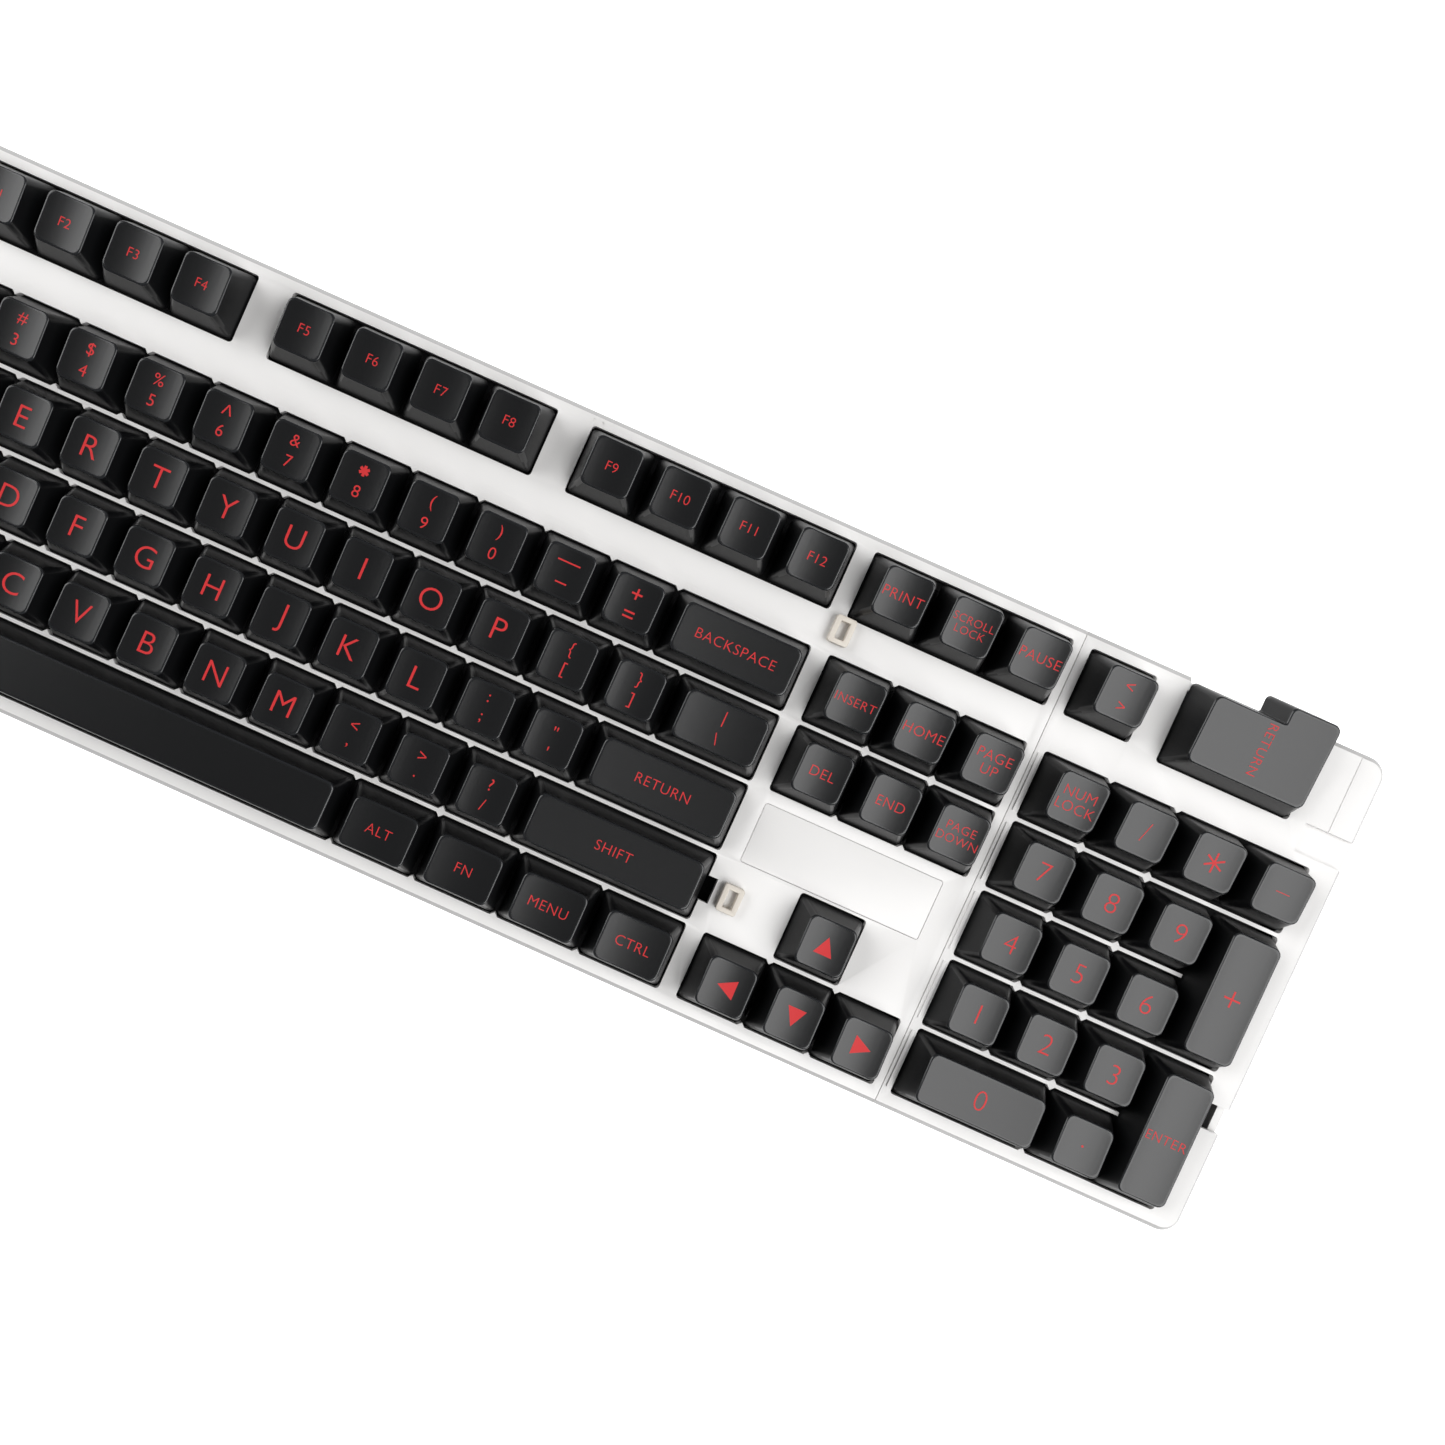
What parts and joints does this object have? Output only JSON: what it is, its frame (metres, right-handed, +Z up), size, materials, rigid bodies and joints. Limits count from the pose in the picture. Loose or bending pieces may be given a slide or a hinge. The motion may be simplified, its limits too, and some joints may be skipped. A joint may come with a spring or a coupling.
{
  "type": "mechanical keyboard",
  "caption": "Full-size mechanical keyboard: white two-part cover, black plate, tapered dished black keys with red legends on sprung plunger switches, USB socket and two flip-out feet.",
  "frame": {"origin": "middle of the footprint, rear overhang of the sideways return key included, on the desk plane under the rubber pads", "axes": "+X along the key rows towards the number pad, +Y from the space bar to the function row, +Z up through the key tops"},
  "size_m": [0.4446, 0.1404, 0.0338],
  "materials": {
    "cover_white": "satin white moulded plastic",
    "clip_white": "satin white moulded plastic",
    "case_white": "satin white moulded plastic",
    "plate_black": "black powder coat",
    "board_green": "solder mask",
    "switch_black": "moulded switch housing",
    "spring_steel": "drawn spring wire",
    "contact_brass": "stamped leaf",
    "chip_black": "moulded package",
    "socket_steel": "plated shell",
    "screw_steel": "plated screw",
    "pad_rubber": "matt rubber",
    "keycap_black": "fine-textured black plastic with red legends"
  },
  "bodies": {
    "frame": {"cover_main": "cover_white", "cover_number_pad": "cover_white", "cover_panel": "cover_white", "cover_clips": "clip_white", "bottom_case": "case_white", "switch_plate": "plate_black", "circuit_board": "board_green", "switch_bases": "switch_black", "switch_tops": "switch_black", "switch_springs": "spring_steel", "switch_contacts": "contact_brass", "board_diodes": "chip_black", "controller_chip": "chip_black", "stabiliser_housings": "switch_black", "usb_socket": "socket_steel", "case_screws": "screw_steel", "rubber_pads": "pad_rubber"},
    "left_foot": {"foot_left": "case_white"},
    "right_foot": {"foot_right": "case_white"},
    "key_escape_body": {"key_escape": "keycap_black"},
    "keys_f1_f4_body": {"keys_f1_f4": "keycap_black"},
    "keys_f5_f8_body": {"keys_f5_f8": "keycap_black"},
    "keys_f9_f12_body": {"keys_f9_f12": "keycap_black"},
    "keys_print_pause_body": {"keys_print_pause": "keycap_black"},
    "key_angle_brackets_body": {"key_angle_brackets": "keycap_black"},
    "keys_number_row_body": {"keys_number_row": "keycap_black"},
    "key_backspace_body": {"key_backspace": "keycap_black"},
    "keys_insert_row_body": {"keys_insert_row": "keycap_black"},
    "keys_pad_top_body": {"keys_pad_top": "keycap_black"},
    "key_pad_minus_body": {"key_pad_minus": "keycap_black"},
    "key_tab_body": {"key_tab": "keycap_black"},
    "keys_q_row_body": {"keys_q_row": "keycap_black"},
    "key_backslash_body": {"key_backslash": "keycap_black"},
    "keys_delete_row_body": {"keys_delete_row": "keycap_black"},
    "keys_pad_789_body": {"keys_pad_789": "keycap_black"},
    "key_caps_lock_body": {"key_caps_lock": "keycap_black"},
    "keys_a_row_body": {"keys_a_row": "keycap_black"},
    "key_return_body": {"key_return": "keycap_black"},
    "keys_pad_456_body": {"keys_pad_456": "keycap_black"},
    "key_shift_left_body": {"key_shift_left": "keycap_black"},
    "keys_z_row_body": {"keys_z_row": "keycap_black"},
    "key_shift_right_body": {"key_shift_right": "keycap_black"},
    "key_arrow_up_body": {"key_arrow_up": "keycap_black"},
    "keys_pad_123_body": {"keys_pad_123": "keycap_black"},
    "key_ctrl_left_body": {"key_ctrl_left": "keycap_black"},
    "key_meta_body": {"key_meta": "keycap_black"},
    "key_alt_left_body": {"key_alt_left": "keycap_black"},
    "key_space_body": {"key_space": "keycap_black"},
    "key_alt_right_body": {"key_alt_right": "keycap_black"},
    "key_fn_body": {"key_fn": "keycap_black"},
    "key_menu_body": {"key_menu": "keycap_black"},
    "key_ctrl_right_body": {"key_ctrl_right": "keycap_black"},
    "key_arrow_left_body": {"key_arrow_left": "keycap_black"},
    "key_arrow_down_body": {"key_arrow_down": "keycap_black"},
    "key_arrow_right_body": {"key_arrow_right": "keycap_black"},
    "key_pad_zero_body": {"key_pad_zero": "keycap_black"},
    "key_pad_point_body": {"key_pad_point": "keycap_black"},
    "key_pad_plus_body": {"key_pad_plus": "keycap_black"},
    "key_pad_enter_body": {"key_pad_enter": "keycap_black"},
    "key_return_sideways_body": {"key_return_sideways": "keycap_black"}
  },
  "joints": [
    {"name": "key_escape_press", "type": "slide", "parent": "frame", "child": "key_escape_body", "axis": [0, 0, -1], "range_m": [0, 0.004], "stiffness_N_per_m": 50, "springref_m": -0.008, "deforming": ["switch_springs"]},
    {"name": "keys_f1_f4_press", "type": "slide", "parent": "frame", "child": "keys_f1_f4_body", "axis": [0, 0, -1], "range_m": [0, 0.004], "stiffness_N_per_m": 200, "springref_m": -0.008},
    {"name": "keys_f5_f8_press", "type": "slide", "parent": "frame", "child": "keys_f5_f8_body", "axis": [0, 0, -1], "range_m": [0, 0.004], "stiffness_N_per_m": 200, "springref_m": -0.008},
    {"name": "keys_f9_f12_press", "type": "slide", "parent": "frame", "child": "keys_f9_f12_body", "axis": [0, 0, -1], "range_m": [0, 0.004], "stiffness_N_per_m": 200, "springref_m": -0.008},
    {"name": "keys_print_pause_press", "type": "slide", "parent": "frame", "child": "keys_print_pause_body", "axis": [0, 0, -1], "range_m": [0, 0.004], "stiffness_N_per_m": 150, "springref_m": -0.008},
    {"name": "key_angle_brackets_press", "type": "slide", "parent": "frame", "child": "key_angle_brackets_body", "axis": [0, 0, -1], "range_m": [0, 0.004], "stiffness_N_per_m": 50, "springref_m": -0.008},
    {"name": "keys_number_row_press", "type": "slide", "parent": "frame", "child": "keys_number_row_body", "axis": [0, 0, -1], "range_m": [0, 0.004], "stiffness_N_per_m": 650, "springref_m": -0.008},
    {"name": "key_backspace_press", "type": "slide", "parent": "frame", "child": "key_backspace_body", "axis": [0, 0, -1], "range_m": [0, 0.004], "stiffness_N_per_m": 50, "springref_m": -0.008},
    {"name": "keys_insert_row_press", "type": "slide", "parent": "frame", "child": "keys_insert_row_body", "axis": [0, 0, -1], "range_m": [0, 0.004], "stiffness_N_per_m": 150, "springref_m": -0.008},
    {"name": "keys_pad_top_press", "type": "slide", "parent": "frame", "child": "keys_pad_top_body", "axis": [0, 0, -1], "range_m": [0, 0.004], "stiffness_N_per_m": 150, "springref_m": -0.008},
    {"name": "key_pad_minus_press", "type": "slide", "parent": "frame", "child": "key_pad_minus_body", "axis": [0, 0, -1], "range_m": [0, 0.004], "stiffness_N_per_m": 50, "springref_m": -0.008},
    {"name": "key_tab_press", "type": "slide", "parent": "frame", "child": "key_tab_body", "axis": [0, 0, -1], "range_m": [0, 0.004], "stiffness_N_per_m": 50, "springref_m": -0.008},
    {"name": "keys_q_row_press", "type": "slide", "parent": "frame", "child": "keys_q_row_body", "axis": [0, 0, -1], "range_m": [0, 0.004], "stiffness_N_per_m": 600, "springref_m": -0.008},
    {"name": "key_backslash_press", "type": "slide", "parent": "frame", "child": "key_backslash_body", "axis": [0, 0, -1], "range_m": [0, 0.004], "stiffness_N_per_m": 50, "springref_m": -0.008},
    {"name": "keys_delete_row_press", "type": "slide", "parent": "frame", "child": "keys_delete_row_body", "axis": [0, 0, -1], "range_m": [0, 0.004], "stiffness_N_per_m": 150, "springref_m": -0.008},
    {"name": "keys_pad_789_press", "type": "slide", "parent": "frame", "child": "keys_pad_789_body", "axis": [0, 0, -1], "range_m": [0, 0.004], "stiffness_N_per_m": 150, "springref_m": -0.008},
    {"name": "key_caps_lock_press", "type": "slide", "parent": "frame", "child": "key_caps_lock_body", "axis": [0, 0, -1], "range_m": [0, 0.004], "stiffness_N_per_m": 50, "springref_m": -0.008},
    {"name": "keys_a_row_press", "type": "slide", "parent": "frame", "child": "keys_a_row_body", "axis": [0, 0, -1], "range_m": [0, 0.004], "stiffness_N_per_m": 550, "springref_m": -0.008},
    {"name": "key_return_press", "type": "slide", "parent": "frame", "child": "key_return_body", "axis": [0, 0, -1], "range_m": [0, 0.004], "stiffness_N_per_m": 50, "springref_m": -0.008},
    {"name": "keys_pad_456_press", "type": "slide", "parent": "frame", "child": "keys_pad_456_body", "axis": [0, 0, -1], "range_m": [0, 0.004], "stiffness_N_per_m": 150, "springref_m": -0.008},
    {"name": "key_shift_left_press", "type": "slide", "parent": "frame", "child": "key_shift_left_body", "axis": [0, 0, -1], "range_m": [0, 0.004], "stiffness_N_per_m": 50, "springref_m": -0.008},
    {"name": "keys_z_row_press", "type": "slide", "parent": "frame", "child": "keys_z_row_body", "axis": [0, 0, -1], "range_m": [0, 0.004], "stiffness_N_per_m": 500, "springref_m": -0.008},
    {"name": "key_shift_right_press", "type": "slide", "parent": "frame", "child": "key_shift_right_body", "axis": [0, 0, -1], "range_m": [0, 0.004], "stiffness_N_per_m": 50, "springref_m": -0.008},
    {"name": "key_arrow_up_press", "type": "slide", "parent": "frame", "child": "key_arrow_up_body", "axis": [0, 0, -1], "range_m": [0, 0.004], "stiffness_N_per_m": 50, "springref_m": -0.008},
    {"name": "keys_pad_123_press", "type": "slide", "parent": "frame", "child": "keys_pad_123_body", "axis": [0, 0, -1], "range_m": [0, 0.004], "stiffness_N_per_m": 150, "springref_m": -0.008},
    {"name": "key_ctrl_left_press", "type": "slide", "parent": "frame", "child": "key_ctrl_left_body", "axis": [0, 0, -1], "range_m": [0, 0.004], "stiffness_N_per_m": 50, "springref_m": -0.008},
    {"name": "key_meta_press", "type": "slide", "parent": "frame", "child": "key_meta_body", "axis": [0, 0, -1], "range_m": [0, 0.004], "stiffness_N_per_m": 50, "springref_m": -0.008},
    {"name": "key_alt_left_press", "type": "slide", "parent": "frame", "child": "key_alt_left_body", "axis": [0, 0, -1], "range_m": [0, 0.004], "stiffness_N_per_m": 50, "springref_m": -0.008},
    {"name": "key_space_press", "type": "slide", "parent": "frame", "child": "key_space_body", "axis": [0, 0, -1], "range_m": [0, 0.004], "stiffness_N_per_m": 50, "springref_m": -0.008},
    {"name": "key_alt_right_press", "type": "slide", "parent": "frame", "child": "key_alt_right_body", "axis": [0, 0, -1], "range_m": [0, 0.004], "stiffness_N_per_m": 50, "springref_m": -0.008},
    {"name": "key_fn_press", "type": "slide", "parent": "frame", "child": "key_fn_body", "axis": [0, 0, -1], "range_m": [0, 0.004], "stiffness_N_per_m": 50, "springref_m": -0.008},
    {"name": "key_menu_press", "type": "slide", "parent": "frame", "child": "key_menu_body", "axis": [0, 0, -1], "range_m": [0, 0.004], "stiffness_N_per_m": 50, "springref_m": -0.008},
    {"name": "key_ctrl_right_press", "type": "slide", "parent": "frame", "child": "key_ctrl_right_body", "axis": [0, 0, -1], "range_m": [0, 0.004], "stiffness_N_per_m": 50, "springref_m": -0.008},
    {"name": "key_arrow_left_press", "type": "slide", "parent": "frame", "child": "key_arrow_left_body", "axis": [0, 0, -1], "range_m": [0, 0.004], "stiffness_N_per_m": 50, "springref_m": -0.008},
    {"name": "key_arrow_down_press", "type": "slide", "parent": "frame", "child": "key_arrow_down_body", "axis": [0, 0, -1], "range_m": [0, 0.004], "stiffness_N_per_m": 50, "springref_m": -0.008},
    {"name": "key_arrow_right_press", "type": "slide", "parent": "frame", "child": "key_arrow_right_body", "axis": [0, 0, -1], "range_m": [0, 0.004], "stiffness_N_per_m": 50, "springref_m": -0.008},
    {"name": "key_pad_zero_press", "type": "slide", "parent": "frame", "child": "key_pad_zero_body", "axis": [0, 0, -1], "range_m": [0, 0.004], "stiffness_N_per_m": 50, "springref_m": -0.008},
    {"name": "key_pad_point_press", "type": "slide", "parent": "frame", "child": "key_pad_point_body", "axis": [0, 0, -1], "range_m": [0, 0.004], "stiffness_N_per_m": 50, "springref_m": -0.008},
    {"name": "key_pad_plus_press", "type": "slide", "parent": "frame", "child": "key_pad_plus_body", "axis": [0, 0, -1], "range_m": [0, 0.004], "stiffness_N_per_m": 50, "springref_m": -0.008},
    {"name": "key_pad_enter_press", "type": "slide", "parent": "frame", "child": "key_pad_enter_body", "axis": [0, 0, -1], "range_m": [0, 0.004], "stiffness_N_per_m": 50, "springref_m": -0.008},
    {"name": "key_return_sideways_press", "type": "slide", "parent": "frame", "child": "key_return_sideways_body", "axis": [0, 0, -1], "range_m": [0, 0.004], "stiffness_N_per_m": 50, "springref_m": -0.008},
    {"name": "left_foot_flip", "type": "hinge", "parent": "frame", "child": "left_foot", "pos_m": [-0.176, 0.053, 0.0035], "axis": [1, 0, 0], "range_deg": [0, 80]},
    {"name": "right_foot_flip", "type": "hinge", "parent": "frame", "child": "right_foot", "pos_m": [0.176, 0.053, 0.0035], "axis": [1, 0, 0], "range_deg": [0, 80]}
  ]
}
